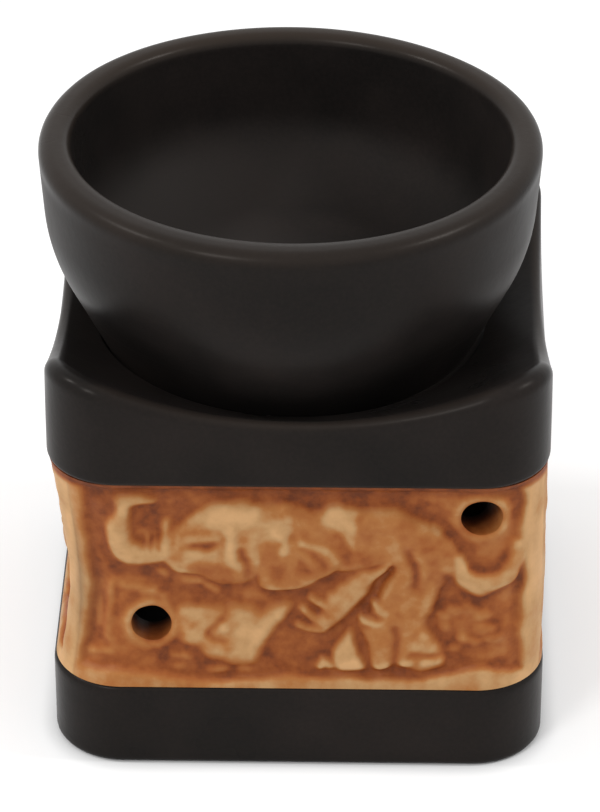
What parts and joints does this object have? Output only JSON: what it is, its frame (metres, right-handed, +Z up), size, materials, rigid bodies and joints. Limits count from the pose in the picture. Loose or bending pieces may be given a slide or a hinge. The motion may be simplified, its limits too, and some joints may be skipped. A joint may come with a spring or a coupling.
{
  "type": "essential oil burner",
  "caption": "Square ceramic oil burner: dished black collar and plinth, waisted elephant relief band with vents, lift-out round bowl, tealight behind a rear arch.",
  "frame": {"origin": "centre of the stand's square foot, on the surface that it stands on", "axes": "+Z up; the front with the facing relief panel looks along -Y; +X is to the right seen from the front; the tealight arch faces +Y"},
  "size_m": [0.0882, 0.0864, 0.1026],
  "materials": {
    "base_glaze": "satin black glaze",
    "band_clay": "tan clay with brown stain wiped into the relief, satin",
    "collar_glaze": "satin black glaze",
    "bowl_glaze": "satin black glaze, glossier on the lip",
    "cup_metal": "thin pressed foil",
    "wax": "white paraffin wax",
    "wick_cotton": "waxed braided cotton",
    "tab_metal": "tinned steel"
  },
  "bodies": {
    "stand": {"base_plinth": "base_glaze", "relief_band": "band_clay", "collar": "collar_glaze"},
    "bowl": {"oil_bowl": "bowl_glaze"},
    "tealight": {"tealight_cup": "cup_metal", "tealight_wax": "wax", "tealight_wick": "wick_cotton", "wick_tab": "tab_metal"}
  },
  "joints": [
    {"name": "bowl_lift", "type": "slide", "parent": "stand", "child": "bowl", "axis": [0, 0, 1], "range_m": [0, 0.06]},
    {"name": "tealight_slide", "type": "slide", "parent": "stand", "child": "tealight", "axis": [0, 1, 0], "range_m": [0, 0.07]}
  ]
}
